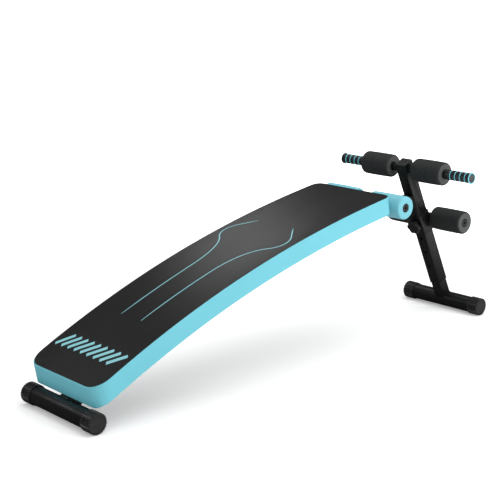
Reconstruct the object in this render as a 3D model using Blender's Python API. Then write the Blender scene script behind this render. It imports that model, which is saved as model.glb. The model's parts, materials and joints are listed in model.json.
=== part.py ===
"""Decline sit-up bench: a curved padded board on a square-tube frame, with a
folding, height-adjustable front leg that carries the foam leg rollers.

Metres, +Z up, +X towards the front leg, mid-plane at y = 0. The origin lies on
the floor midway between the two foot tubes. Left is +Y.
"""
import math

import bmesh
import bpy
from mathutils import Vector

GAP = 0.0003                # clearance between pieces that touch on the real bench
BOLT_SLACK = 0.0004         # extra radius of a hole around its bolt
THROUGH = 0.100             # half length of a cutter that passes right through
NEAR_WALL = (0.010, 0.030)  # reach of a cutter that drills one wall of the post or sleeve

# Feet
SPAN = 1.500                # rear foot axis to front foot axis
CAP_R = 0.0280              # foot cap, over the crests of its ridges
CAP_LENGTH = 0.038
CAP_RIDGES = 32             # a multiple of four, so that one crest rests flat on the floor
CAP_GROOVE = 0.0015         # depth of the grooves between ridges
CAP_FLOOR = 0.005           # thickness of the cap's closed end
FOOT_HALF = 0.1525          # mid-plane to the outer face of a foot cap
FOOT_TUBE_R = 0.0250
ROUND_WALL = 0.0020

# Board
BOARD_LENGTH = 1.054        # measured along the floor
BOARD_START = -0.004        # low end of the board, from the rear foot axis
BOARD_WIDTH = 0.300
BOARD_THICK = 0.054
BOARD_LOW_Z = 0.1115
BOARD_HIGH_Z = 0.4508
BOARD_LOW_SLOPE = 0.522     # rise over run at the low end
BOARD_HIGH_SLOPE = 0.162
LOW_LEAN = math.radians(13)  # the low end face stands this much steeper than square
LOW_LEAN_RUN = 0.100        # distance over which that lean fades out
LOW_CORNER_R = 0.037
HIGH_CORNER_R = 0.026
COVER_THICK = 0.0020
BAND_THICK = 0.0028
BACKING_THICK = 0.0120

# Square tubes
TUBE_SIZE = 0.040
TUBE_WALL = 0.0020
TUBE_CORNER = 0.0025
STUB_SIZE = 0.0350
SLEEVE_SIZE = 0.0480

# Front leg, measured along the post from the front foot axis
POST_TILT = math.radians(25.15)
POST_LOW = 0.077
POST_HIGH = 0.5262
STUB_HIGH = 0.126
HANDLE_S = 0.508
HOLE_FIRST = 0.1435
HOLE_PITCH = 0.055
HOLE_COUNT = 4
HOLE_R = 0.0050
PIN_S = HOLE_FIRST + (HOLE_COUNT - 1) * HOLE_PITCH
SLEEVE_LOW = 0.274
SLEEVE_HIGH = 0.340
FOOT_ROLLER_S = 0.3035

# Hinge between frame and leg
HINGE_X = 1.270             # from the rear foot axis
HINGE_Z = 0.387
BOLT_R = 0.0050
BRACKET_PLATE = 0.0035
EAR_THICK = 0.0037
EAR_R = 0.0155
FRAME_END = 0.034           # hinge axis back to the end of the frame tube
BRACKET_LOW = 0.333
BRACKET_HIGH = 0.420
EAR_LOW = 0.385

# Roller tubes, foam rollers and handle
BAR_R = 0.0125
FOAM_R = 0.0364
FOAM_ROUND = 0.0060
FOAM_BORE_R = 0.0130
SHIN_INNER = 0.0480         # upper rollers: mid-plane to the inner and outer faces
SHIN_OUTER = 0.1565
FOOT_INNER = 0.0320         # lower rollers
FOOT_OUTER = 0.1465
KNEE_R = 0.0350
KNEE_INNER = 0.0300         # knee rollers
KNEE_OUTER = 0.1580
KNEE_X = 1.1070             # from the rear foot axis
KNEE_Z = 0.4078
HANDLE_HALF = 0.2575
GRIP_R = 0.0155
END_CAP_LENGTH = 0.0040
END_RING_R = 0.0170
END_RING_BORE = 0.0140
END_RING_THICK = 0.0015

# Spring pin and knob, measured outward from the post axis, pin pulled clear
PIN_R = 0.0045
PIN_SLACK = 0.0008          # extra radius of the sleeve's hole around the pin
PIN_TIP = 0.0205
PIN_STEM_R = 0.0030
BARREL_R = 0.0080
BARREL_END = 0.0360
CHAMBER_R = 0.0062
KNOB_R = 0.0222
KNOB_BACK = 0.0300
KNOB_FRONT = 0.0440
KNOB_LOBES = 6

REAR_X = -SPAN / 2
FRONT_X = SPAN / 2
FACE_Y = (-math.pi / 2, 0.0, 0.0)       # turns a piece's own +Z to world +Y
FACE_MINUS_Y = (math.pi / 2, 0.0, 0.0)
FACE_X = (0.0, math.pi / 2, 0.0)
FACE_MINUS_X = (0.0, -math.pi / 2, 0.0)
SIDES = (("left", 1, FACE_Y), ("right", -1, FACE_MINUS_Y))

LOOKS = {                   # colour, roughness, metallic
    "powder_coat": ((0.018, 0.018, 0.019), 0.42, 0.6),
    "black_rubber": ((0.025, 0.025, 0.026), 0.70, 0.0),
    "black_foam": ((0.035, 0.036, 0.038), 0.85, 0.0),
    "blue_foam": ((0.20, 0.66, 0.76), 0.70, 0.0),
    "blue_vinyl": ((0.20, 0.68, 0.78), 0.50, 0.0),
    "black_vinyl": ((0.020, 0.020, 0.021), 0.50, 0.0),
    "pad_foam": ((0.75, 0.72, 0.60), 0.95, 0.0),
    "plywood": ((0.45, 0.30, 0.16), 0.75, 0.0),
    "black_plastic": ((0.022, 0.022, 0.023), 0.50, 0.0),
    "zinc_steel": ((0.62, 0.63, 0.64), 0.32, 1.0),
}


# ---------------------------------------------------------------- objects

def look(name):
    """Principled material for one of the entries in LOOKS."""
    if name in bpy.data.materials:
        return bpy.data.materials[name]
    colour, roughness, metallic = LOOKS[name]
    material = bpy.data.materials.new(name)
    material.use_nodes = True
    shader = material.node_tree.nodes["Principled BSDF"]
    shader.inputs["Base Color"].default_value = (*colour, 1.0)
    shader.inputs["Roughness"].default_value = roughness
    shader.inputs["Metallic"].default_value = metallic
    return material


def add_empty(name, location, rotation=(0.0, 0.0, 0.0), parent=None):
    """Empty that carries the pieces standing on one joint axis."""
    empty = bpy.data.objects.new(name, None)
    bpy.context.collection.objects.link(empty)
    empty.location = location
    empty.rotation_euler = rotation
    empty.parent = parent
    return empty


def add_piece(name, bm, look_name, parent, location=(0, 0, 0), rotation=(0, 0, 0)):
    """Turn a finished bmesh into a named, placed object."""
    bmesh.ops.recalc_face_normals(bm, faces=bm.faces)
    mesh = bpy.data.meshes.new(name)
    bm.to_mesh(mesh)
    bm.free()
    mesh.shade_smooth()
    mesh.set_sharp_from_angle(angle=math.radians(32))
    mesh.materials.append(look(look_name))
    piece = bpy.data.objects.new(name, mesh)
    bpy.context.collection.objects.link(piece)
    piece.parent = parent
    piece.location = location
    piece.rotation_euler = rotation
    return piece


def cut(piece, bm, location=(0, 0, 0), rotation=(0, 0, 0), parent=None):
    """Subtract a hidden cutter, placed under the piece's own parent unless another is given."""
    parent = parent or piece.parent
    cutter = add_piece(piece.name + "_cutter", bm, "zinc_steel", parent, location, rotation)
    cutter.hide_render = True
    cutter.display_type = "WIRE"
    boolean = piece.modifiers.new("cut", "BOOLEAN")
    boolean.operation = "DIFFERENCE"
    boolean.solver = "EXACT"
    boolean.object = cutter


# ---------------------------------------------------------------- solids

def round_ring(segments):
    """Ring maker: a circle of the given radius at the given height."""
    def ring(radius, height):
        turns = [2 * math.pi * i / segments for i in range(segments)]
        return [(radius * math.cos(a), radius * math.sin(a), height) for a in turns]
    return ring


def square_ring(steps=2):
    """Ring maker: a square whose radius is its half width.

    Its corners are rounded about the same centres as the post's, so nested
    tubes, bushes and plugs keep an even gap all round.
    """
    def ring(half, height):
        bend = max(TUBE_CORNER + half - TUBE_SIZE / 2, 0.0008)
        points = []
        for quarter in range(4):
            middle = math.radians(45 + 90 * quarter)
            reach = (half - bend) * math.sqrt(2)
            for step in range(steps + 1):
                angle = math.radians(90 * quarter + 90 * step / steps)
                x = reach * math.cos(middle) + bend * math.cos(angle)
                y = reach * math.sin(middle) + bend * math.sin(angle)
                points.append((x, y, height))
        return points
    return ring


def lobed_ring(lobes, depth, segments):
    """Ring maker: a circle whose radius swells into lobes by the fraction depth."""
    def ring(radius, height):
        points = []
        for i in range(segments):
            angle = 2 * math.pi * i / segments
            reach = radius * (1 + depth * math.cos(lobes * angle))
            points.append((reach * math.cos(angle), reach * math.sin(angle), height))
        return points
    return ring


def ridged_ring(ridges, groove):
    """Ring maker: flat-topped ridges; radius is the distance to a crest's flat."""
    crest_half = math.pi / ridges * 0.55
    groove_half = math.pi / ridges * 0.75

    def ring(radius, height):
        points = []
        for i in range(ridges):
            middle = 2 * math.pi * i / ridges
            crest = radius / math.cos(crest_half)
            for reach, offset in ((radius - groove, -groove_half), (crest, -crest_half),
                                  (crest, crest_half), (radius - groove, groove_half)):
                angle = middle + offset
                points.append((reach * math.cos(angle), reach * math.sin(angle), height))
        return points
    return ring


def turned(profile, ring):
    """Closed solid from a closed (radius, height) loop; radius 0 is a pole."""
    bm = bmesh.new()
    rings = []
    for radius, height in profile:
        points = ring(radius, height) if radius else [(0.0, 0.0, height)]
        rings.append([bm.verts.new(point) for point in points])
    for ring_a, ring_b in zip(rings, rings[1:] + rings[:1]):
        count = max(len(ring_a), len(ring_b))
        if count == 1:
            continue
        for i in range(count):
            j = (i + 1) % count
            corners = []
            for vert in (ring_a[i % len(ring_a)], ring_a[j % len(ring_a)],
                         ring_b[j % len(ring_b)], ring_b[i % len(ring_b)]):
                if vert not in corners:
                    corners.append(vert)
            bm.faces.new(corners)
    return bm


def cylinder(radius, low, high, segments=32):
    return turned([(0, low), (radius, low), (radius, high), (0, high)], round_ring(segments))


def pipe(outer, inner, low, high, ring):
    return turned([(outer, low), (outer, high), (inner, high), (inner, low)], ring)


def prism(outline, thickness):
    """Outline in x and z, given thickness along y and centred on y = 0."""
    bm = bmesh.new()
    sides = [[bm.verts.new((x, y, z)) for x, z in outline] for y in (-thickness / 2, thickness / 2)]
    bm.faces.new(sides[0])
    bm.faces.new(reversed(sides[1]))
    count = len(outline)
    for i in range(count):
        j = (i + 1) % count
        bm.faces.new((sides[0][i], sides[1][i], sides[1][j], sides[0][j]))
    return bm


def box(size_x, size_y, size_z):
    half_x, half_z = size_x / 2, size_z / 2
    return prism([(-half_x, -half_z), (half_x, -half_z), (half_x, half_z), (-half_x, half_z)], size_y)


def skin_loops(loops, closed_ends):
    """Solid from a row of loops; either flat end faces, or first joined to last."""
    bm = bmesh.new()
    rings = [[bm.verts.new(point) for point in loop] for loop in loops]
    pairs = list(zip(rings, rings[1:]))
    if not closed_ends:
        pairs.append((rings[-1], rings[0]))
    for ring_a, ring_b in pairs:
        for i in range(len(ring_a)):
            j = (i + 1) % len(ring_a)
            bm.faces.new((ring_a[i], ring_a[j], ring_b[j], ring_b[i]))
    if closed_ends:
        bm.faces.new(rings[0])
        bm.faces.new(rings[-1])
    return bm


def arc(centre_x, centre_z, radius, start, end, steps):
    """Points on a circle, angles in degrees."""
    points = []
    for i in range(steps + 1):
        angle = math.radians(start + (end - start) * i / steps)
        points.append((centre_x + radius * math.cos(angle), centre_z + radius * math.sin(angle)))
    return points


# ---------------------------------------------------------------- curves

def hermite(t, start, end, start_rise, end_rise):
    """Cubic from start to end; the rises are the end slopes times the run."""
    return (start * (2 * t**3 - 3 * t**2 + 1) + start_rise * (t**3 - 2 * t**2 + t)
            + end * (3 * t**2 - 2 * t**3) + end_rise * (t**3 - t**2))


def board_height(run):
    """Height of the board's top face at a distance along the floor from its low end."""
    return hermite(run / BOARD_LENGTH, BOARD_LOW_Z, BOARD_HIGH_Z,
                   BOARD_LOW_SLOPE * BOARD_LENGTH, BOARD_HIGH_SLOPE * BOARD_LENGTH)


def board_slope(run):
    step = 0.001
    return (board_height(run + step) - board_height(run - step)) / (2 * step)


def under_board(run, depth, lean=0.0):
    """Point (x, z) at a depth under the board's top face, square to it unless leaning."""
    angle = math.atan(board_slope(run)) - lean
    reach = depth / math.cos(lean)
    x = REAR_X + BOARD_START + run + reach * math.sin(angle)
    return x, board_height(run) - reach * math.cos(angle)


def in_board(run, depth):
    """Point (x, z) inside the board, whose layers stand steeper near the low end."""
    fade = max(0.0, 1 - run / LOW_LEAN_RUN)
    return under_board(run, depth, LOW_LEAN * fade**2)


def board_stations(inset, corner_steps=4, straight_steps=12):
    """(run, half width) pairs from the low end to the high end of the board."""
    half = BOARD_WIDTH / 2 - inset
    low_r = LOW_CORNER_R - inset
    high_r = HIGH_CORNER_R - inset
    stations = []
    for i in range(corner_steps + 1):
        angle = math.pi / 2 * i / corner_steps
        run = inset + low_r * (1 - math.cos(angle))
        stations.append((run, half - low_r * (1 - math.sin(angle))))
    start = inset + low_r
    end = BOARD_LENGTH - inset - high_r
    for i in range(1, straight_steps):
        stations.append((start + (end - start) * i / straight_steps, half))
    for i in range(corner_steps + 1):
        angle = math.pi / 2 * (1 - i / corner_steps)
        run = BOARD_LENGTH - inset - high_r * (1 - math.cos(angle))
        stations.append((run, half - high_r * (1 - math.sin(angle))))
    return stations


def board_layer(inset, top_depth, bottom_depth):
    """One curved layer of the board, between two depths under its top face."""
    loops = []
    for run, half in board_stations(inset):
        top_x, top_z = in_board(run, top_depth)
        low_x, low_z = in_board(run, bottom_depth)
        loops.append([(top_x, -half, top_z), (top_x, half, top_z),
                      (low_x, half, low_z), (low_x, -half, low_z)])
    return skin_loops(loops, closed_ends=True)


def board_band(thickness, top_depth, bottom_depth):
    """Upright band that runs once around the board's edge."""
    outer = board_stations(0.0)
    inner = board_stations(thickness)
    pairs = [(a, b, -1) for a, b in zip(outer, inner)]
    pairs += [(a, b, 1) for a, b in reversed(list(zip(outer, inner)))]
    loops = []
    for (outer_run, outer_half), (inner_run, inner_half), side in pairs:
        loop = []
        for run, half, depth in ((outer_run, outer_half, top_depth),
                                 (outer_run, outer_half, bottom_depth),
                                 (inner_run, inner_half, bottom_depth),
                                 (inner_run, inner_half, top_depth)):
            x, z = in_board(run, depth)
            loop.append((x, side * half, z))
        loops.append(loop)
    return skin_loops(loops, closed_ends=False)


def frame_path():
    """Centre line of the frame tube: foot axis, under the board, level at the hinge."""
    depth = BOARD_THICK + GAP + TUBE_SIZE / 2
    points = [(REAR_X, CAP_R)]
    board_steps = 10
    first_run, last_run = 0.020, 1.000
    for i in range(board_steps + 1):
        points.append(under_board(first_run + (last_run - first_run) * i / board_steps, depth))
    start_x, start_z = points[-1]
    level_x = REAR_X + HINGE_X - 0.100
    run = level_x - start_x
    slope = board_slope(last_run)
    blend_steps = 4
    for i in range(1, blend_steps + 1):
        t = i / blend_steps
        points.append((start_x + run * t, hermite(t, start_z, HINGE_Z, slope * run, 0.0)))
    points.append((REAR_X + HINGE_X - FRAME_END, HINGE_Z))
    return points


def swept_square_tube(path, size, wall):
    """Open square tube whose centre line follows points in the x-z plane."""
    rings = {half: square_ring()(half, 0.0) for half in (size / 2, size / 2 - wall)}
    stations = []
    for i, (x, z) in enumerate(path):
        before = Vector(path[max(i - 1, 0)])
        after = Vector(path[min(i + 1, len(path) - 1)])
        along = (after - before).normalized()
        stations.append((x, z, Vector((-along.y, along.x))))
    bm = bmesh.new()
    skins = []
    for half in (size / 2, size / 2 - wall):
        skin = []
        for x, z, up in stations:
            skin.append([bm.verts.new((x + up.x * v, u, z + up.y * v)) for u, v, _ in rings[half]])
        skins.append(skin)
    outer, inner = skins
    count = len(outer[0])
    for i in range(count):
        j = (i + 1) % count
        for a, b in zip(range(len(path)), range(1, len(path))):
            bm.faces.new((outer[a][i], outer[a][j], outer[b][j], outer[b][i]))
            bm.faces.new((inner[a][j], inner[a][i], inner[b][i], inner[b][j]))
        for end in (0, -1):
            bm.faces.new((outer[end][i], outer[end][j], inner[end][j], inner[end][i]))
    return bm


# ---------------------------------------------------------------- repeated pieces

def add_foot(name, parent, location):
    """Round foot tube along y with a ridged rubber cap at each end."""
    tube_half = FOOT_HALF - CAP_FLOOR - GAP
    foot = pipe(FOOT_TUBE_R, FOOT_TUBE_R - ROUND_WALL, -tube_half, tube_half, round_ring(32))
    add_piece(name + "_tube", foot, "powder_coat", parent, location, FACE_Y)
    inner = FOOT_HALF - CAP_LENGTH
    socket_end = FOOT_HALF - CAP_FLOOR
    for side, _, rotation in SIDES:
        ridged = ridged_ring(CAP_RIDGES, CAP_GROOVE)
        shell = skin_loops([ridged(CAP_R, inner), ridged(CAP_R, FOOT_HALF)], closed_ends=True)
        cap = add_piece(f"{name}_cap_{side}", shell, "black_rubber", parent, location, rotation)
        socket = cylinder(FOOT_TUBE_R + GAP, inner - 0.010, socket_end, 32)
        cut(cap, socket, location, rotation)


def foam_profile(radius, inner, outer):
    """Foam roller section: a bored cylinder with rounded ends."""
    round_steps = 2
    profile = [(FOAM_BORE_R, inner)]
    for height, sign in ((inner + FOAM_ROUND, -1), (outer - FOAM_ROUND, 1)):
        corner = []
        for i in range(round_steps + 1):
            angle = math.pi / 2 * i / round_steps
            corner.append((radius - FOAM_ROUND * (1 - math.cos(angle)),
                           height + sign * FOAM_ROUND * math.sin(angle)))
        profile += reversed(corner) if sign < 0 else corner
    profile.append((FOAM_BORE_R, outer))
    return profile


def add_rollers(name, look_name, radius, inner, outer, parent, location):
    """Left and right foam rollers, each with its origin on its spin axis."""
    for side, _, rotation in SIDES:
        foam = turned(foam_profile(radius, inner, outer), round_ring(24))
        add_piece(f"{name}_{side}", foam, look_name, parent, location, rotation)


def add_roller_bar(name, half, parent, location):
    """Round tube along y with a plastic plug in each end."""
    inner_r = BAR_R - ROUND_WALL
    bar = pipe(BAR_R, inner_r, -half, half, round_ring(28))
    add_piece(name + "_tube", bar, "powder_coat", parent, location, FACE_Y)
    stem = inner_r - GAP
    for side, _, rotation in SIDES:
        plug = turned([(0, half - 0.012), (stem, half - 0.012), (stem, half - 0.0015),
                       (stem - 0.0015, half), (0, half)], round_ring(24))
        add_piece(f"{name}_plug_{side}", plug, "black_plastic", parent, location, rotation)


# ---------------------------------------------------------------- assemblies

def build_board(root):
    """Padded board: plywood, foam, black cover and the blue band round the edge."""
    inset = BAND_THICK + GAP
    foam_top = COVER_THICK + GAP
    backing_top = BOARD_THICK - GAP - BACKING_THICK
    add_piece("top_cover", board_layer(inset, 0.0, COVER_THICK), "black_vinyl", root)
    add_piece("pad_foam", board_layer(inset, foam_top, backing_top - GAP), "pad_foam", root)
    add_piece("side_band", board_band(BAND_THICK, 0.0, BOARD_THICK), "blue_vinyl", root)
    backing = add_piece("backing_board", board_layer(inset, backing_top, BOARD_THICK - GAP),
                        "plywood", root)
    add_board_fixings(root, backing)


def add_board_fixings(root, backing):
    """Angle tabs welded to the frame tube, and the screws that hold the board."""
    plate = 0.003
    tab_length = 0.030
    upright = 0.018
    shelf = 0.030
    screw_r = 0.0029
    head_r = 0.0058
    shank_top = -0.0085
    wall = TUBE_SIZE / 2 + GAP
    section = [(wall, 0.0), (wall + shelf, 0.0), (wall + shelf, plate), (wall + plate, plate),
               (wall + plate, upright), (wall, upright)]
    screw_y = wall + shelf * 0.6
    for end, run in (("low", 0.200), ("high", 0.850)):
        x, z = under_board(run, BOARD_THICK + GAP)
        pitch = -math.atan(board_slope(run))
        seat = add_empty(f"board_seat_{end}", (x, 0, z), (math.pi, pitch, 0), root)
        for side, sign, _ in SIDES:
            loops = [[(offset, -sign * y, depth) for y, depth in section]
                     for offset in (-tab_length / 2, tab_length / 2)]
            tab = add_piece(f"board_tab_{end}_{side}", skin_loops(loops, closed_ends=True),
                            "powder_coat", seat)
            spot = (0, -sign * screw_y, 0)
            cut(tab, cylinder(screw_r + GAP, -plate, 2 * plate, 16), spot)
            shank = turned([(0, shank_top), (screw_r, shank_top), (screw_r, plate + GAP),
                            (head_r, plate + GAP), (head_r, plate + 0.003),
                            (head_r - 0.002, plate + 0.0045), (0, plate + 0.0045)], round_ring(16))
            add_piece(f"board_screw_{end}_{side}", shank, "zinc_steel", seat, spot)
            pilot = cylinder(screw_r + GAP, shank_top - GAP, 0.002, 16)
            cut(backing, pilot, spot, parent=seat)


def build_frame(root):
    """Curved square tube, coped to the rear foot, with the hinge tongue in its end."""
    rear_axis = (REAR_X, 0, CAP_R)
    knee_axis = (REAR_X + KNEE_X, 0, KNEE_Z)
    tube = add_piece("main_frame_tube",
                     swept_square_tube(frame_path(), TUBE_SIZE, TUBE_WALL),
                     "powder_coat", root)
    cut(tube, cylinder(FOOT_TUBE_R + GAP, -THROUGH, THROUGH), rear_axis, FACE_Y)
    cut(tube, cylinder(BAR_R + GAP, -THROUGH, THROUGH, 28), knee_axis, FACE_Y)
    add_foot("rear_foot", root, rear_axis)
    add_roller_bar("knee_roller", KNEE_OUTER - 0.0005, root, knee_axis)

    nose_r = 0.014
    plug_half = TUBE_SIZE / 2 - TUBE_WALL - 0.0010
    plug_back = -0.074
    outline = [(plug_back, -plug_half), (-FRAME_END, -plug_half)]
    outline += arc(0, 0, nose_r, -90, 90, 10)
    outline += [(-FRAME_END, plug_half), (plug_back, plug_half)]
    tongue_width = TUBE_SIZE - 2 * (EAR_THICK + BOLT_SLACK)
    hinge = (REAR_X + HINGE_X, 0, HINGE_Z)
    tongue = add_piece("hinge_tongue", prism(outline, tongue_width), "powder_coat", root, hinge)
    cut(tongue, cylinder(BOLT_R + BOLT_SLACK, -THROUGH, THROUGH, 24), hinge, FACE_Y)


def build_hinge_bolt(fold):
    """Bolt, washers and lock nut through the bracket's ears and the tongue."""
    ear_face = TUBE_SIZE / 2 + GAP
    washer = 0.0015
    seat = ear_face + washer + GAP
    nut = 0.0060
    head = 0.0062
    head_r = 0.0088
    nut_r = 0.0098
    end = seat + nut + 0.003
    bolt = turned([(0, -seat - head), (head_r, -seat - head), (head_r, -seat), (BOLT_R, -seat),
                   (BOLT_R, end), (0, end)], round_ring(24))
    add_piece("hinge_bolt", bolt, "zinc_steel", fold, (0, 0, 0), FACE_Y)
    hexagon = round_ring(6)
    block = skin_loops([hexagon(nut_r, seat), hexagon(nut_r, seat + nut)], closed_ends=True)
    nut_piece = add_piece("hinge_nut", block, "zinc_steel", fold, (0, 0, 0), FACE_Y)
    cut(nut_piece, cylinder(BOLT_R + GAP, -THROUGH, THROUGH, 24), (0, 0, 0), FACE_Y)
    for side, _, rotation in SIDES:
        ring = pipe(0.0105, BOLT_R + GAP, ear_face, ear_face + washer, round_ring(24))
        add_piece(f"hinge_washer_{side}", ring, "zinc_steel", fold, (0, 0, 0), rotation)


def build_sleeve(leg):
    """Sleeve on the post with its bushes, hinge bracket and lower roller tube."""
    half = SLEEVE_SIZE / 2
    bore = half - TUBE_WALL
    sleeve = add_piece("sleeve", pipe(half, bore, SLEEVE_LOW, SLEEVE_HIGH,
                                      square_ring()), "powder_coat", leg)
    cut(sleeve, cylinder(PIN_R + PIN_SLACK, *NEAR_WALL, 20), (0, 0, PIN_S), FACE_MINUS_X)
    lip = 0.0020
    skirt = 0.014
    slide = TUBE_SIZE / 2 + GAP
    for end, edge, way in (("top", SLEEVE_HIGH, 1), ("bottom", SLEEVE_LOW, -1)):
        bush = turned([(slide, edge - way * skirt), (bore - GAP, edge - way * skirt),
                       (bore - GAP, edge + way * GAP), (half, edge + way * GAP),
                       (half, edge + way * lip), (slide, edge + way * lip)],
                      square_ring())
        add_piece(f"sleeve_bush_{end}", bush, "black_plastic", leg)
    bar_n = half + GAP + BAR_R
    add_roller_bar("foot_roller", FOOT_OUTER - 0.0005, leg, (bar_n, 0, FOOT_ROLLER_S))
    build_bracket(leg)


def build_bracket(leg):
    """U-shaped bracket: a web on the sleeve and two ears around the hinge tongue."""
    hinge_n, hinge_s = hinge_in_leg()
    tilt = math.degrees(POST_TILT)
    web_back = -(SLEEVE_SIZE / 2 + GAP)
    web_face = web_back - BRACKET_PLATE
    stop_x = -FRAME_END + 0.0005

    def from_hinge(dx, dz):
        n = hinge_n + dx * math.cos(POST_TILT) + dz * math.sin(POST_TILT)
        s = hinge_s - dx * math.sin(POST_TILT) + dz * math.cos(POST_TILT)
        return n, s

    outline = [(web_back, BRACKET_LOW), (web_back, BRACKET_HIGH), (web_face, BRACKET_HIGH)]
    outline += arc(hinge_n, hinge_s, EAR_R, 60, 80, 2)
    outline += [from_hinge(-0.018, 0.0150), from_hinge(stop_x, 0.0150), from_hinge(stop_x, 0.0040)]
    outline += arc(hinge_n, hinge_s, EAR_R, 165 + tilt, 245, 5)
    outline += [(web_face, EAR_LOW), (web_face, BRACKET_LOW)]
    bracket = add_piece("hinge_bracket", prism(outline, TUBE_SIZE), "powder_coat", leg)
    inside = TUBE_SIZE - 2 * EAR_THICK
    depth = 0.080
    cut(bracket, box(depth, inside, 0.160), (web_face - depth / 2, 0, hinge_s))
    cut(bracket, cylinder(BOLT_R + BOLT_SLACK, -THROUGH, THROUGH, 24), (hinge_n, 0, hinge_s), FACE_Y)


def hinge_in_leg():
    """Hinge axis in the leg's own frame: distance in front of the post, and along it."""
    dx = HINGE_X - SPAN
    dz = HINGE_Z - CAP_R
    across = dx * math.cos(POST_TILT) + dz * math.sin(POST_TILT)
    along = -dx * math.sin(POST_TILT) + dz * math.cos(POST_TILT)
    return across, along


def build_pin(leg):
    """Spring pin: fixed barrel and spring, sliding pin, lobed knob on its stem."""
    seat = SLEEVE_SIZE / 2 + GAP
    flange_r = 0.0110
    flange_end = seat + 0.0030
    front_wall = 0.0260
    back_wall = 0.0350
    shoulder = 0.0311
    shoulder_end = 0.0321
    pin_axis = add_empty("pin_axis", (0, 0, PIN_S), FACE_MINUS_X, leg)

    barrel = turned([(PIN_R + GAP, seat), (flange_r, seat), (flange_r, flange_end),
                     (BARREL_R, flange_end), (BARREL_R, BARREL_END), (PIN_STEM_R + GAP, BARREL_END),
                     (PIN_STEM_R + GAP, back_wall), (CHAMBER_R, back_wall),
                     (CHAMBER_R, front_wall), (PIN_R + GAP, front_wall)], round_ring(24))
    add_piece("pin_barrel", barrel, "zinc_steel", pin_axis)

    stem_end = KNOB_FRONT - 0.0015
    pin = turned([(0, PIN_TIP), (PIN_R - 0.0010, PIN_TIP), (PIN_R, PIN_TIP + 0.0010),
                  (PIN_R, shoulder), (CHAMBER_R - 0.0004, shoulder),
                  (CHAMBER_R - 0.0004, shoulder_end), (PIN_STEM_R, shoulder_end),
                  (PIN_STEM_R, stem_end), (0, stem_end)], round_ring(24))
    add_piece("height_pin", pin, "zinc_steel", pin_axis)

    wire_r = 0.0004
    coil = coil_spring(0.0046, wire_r, shoulder_end + 0.0001 + wire_r,
                       back_wall - 0.0001 - wire_r, turns=2)
    add_piece("pin_spring", coil, "zinc_steel", pin_axis)

    hollow_r = 0.0125
    hollow_end = KNOB_FRONT - 0.0027
    bore_r = PIN_STEM_R + GAP
    rim = 0.0020
    lobed = lobed_ring(KNOB_LOBES, 0.07, 48)
    smooth = round_ring(48)

    def ring(radius, height):
        return smooth(radius, height) if radius <= hollow_r else lobed(radius, height)

    knob = turned([(hollow_r, KNOB_BACK), (KNOB_R, KNOB_BACK), (KNOB_R, KNOB_FRONT - rim),
                   (KNOB_R - rim, KNOB_FRONT), (bore_r, KNOB_FRONT), (bore_r, hollow_end),
                   (hollow_r, hollow_end)], ring)
    add_piece("height_knob", knob, "black_plastic", pin_axis)


def coil_spring(radius, wire_r, low, high, turns):
    """Helical wire with flat ends, along z."""
    steps = 14 * turns
    sides = 6
    loops = []
    for i in range(steps + 1):
        angle = 2 * math.pi * turns * i / steps
        height = low + (high - low) * i / steps
        loop = []
        for k in range(sides):
            turn = 2 * math.pi * k / sides
            reach = radius + wire_r * math.cos(turn)
            loop.append((reach * math.cos(angle), reach * math.sin(angle),
                         height + wire_r * math.sin(turn)))
        loops.append(loop)
    return skin_loops(loops, closed_ends=True)


def build_post(leg):
    """Post with its hole row, plugs, foot and handle bar."""
    half = TUBE_SIZE / 2
    bore = half - TUBE_WALL
    post = add_piece("post_tube", pipe(half, bore, POST_LOW, POST_HIGH, square_ring()),
                     "powder_coat", leg)
    for i in range(HOLE_COUNT):
        cut(post, cylinder(HOLE_R, *NEAR_WALL, 20), (0, 0, HOLE_FIRST + i * HOLE_PITCH),
            FACE_MINUS_X)
    cut(post, cylinder(BAR_R + GAP, -THROUGH, THROUGH, 28), (0, 0, HANDLE_S), FACE_Y)

    cap_base = POST_HIGH + GAP
    insert = bore - GAP
    plug = turned([(0, POST_HIGH - 0.0035), (insert, POST_HIGH - 0.0035), (insert, cap_base),
                   (half, cap_base), (half, cap_base + 0.0025), (half - 0.0015, cap_base + 0.0040),
                   (0, cap_base + 0.0040)], square_ring())
    add_piece("post_top_plug", plug, "black_plastic", leg)

    stub_half = STUB_SIZE / 2
    cope = CAP_R * 0.4
    stub = add_piece("post_stub", pipe(stub_half, stub_half - TUBE_WALL, cope, STUB_HIGH,
                                       square_ring()), "powder_coat", leg)
    cut(stub, cylinder(FOOT_TUBE_R + GAP, -THROUGH, THROUGH), (0, 0, 0), FACE_Y)

    fit = stub_half + GAP / 2
    collar = turned([(fit, POST_LOW - 0.0025), (half + 0.0005, POST_LOW - 0.0025),
                     (half + 0.0005, POST_LOW - GAP), (fit, POST_LOW - GAP)],
                    square_ring())
    add_piece("post_collar", collar, "black_plastic", leg)
    level = add_empty("front_foot_axis", (0, 0, 0), (0.0, POST_TILT, 0.0), leg)
    add_foot("front_foot", level, (0, 0, 0))
    build_handle(leg, post)


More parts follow.
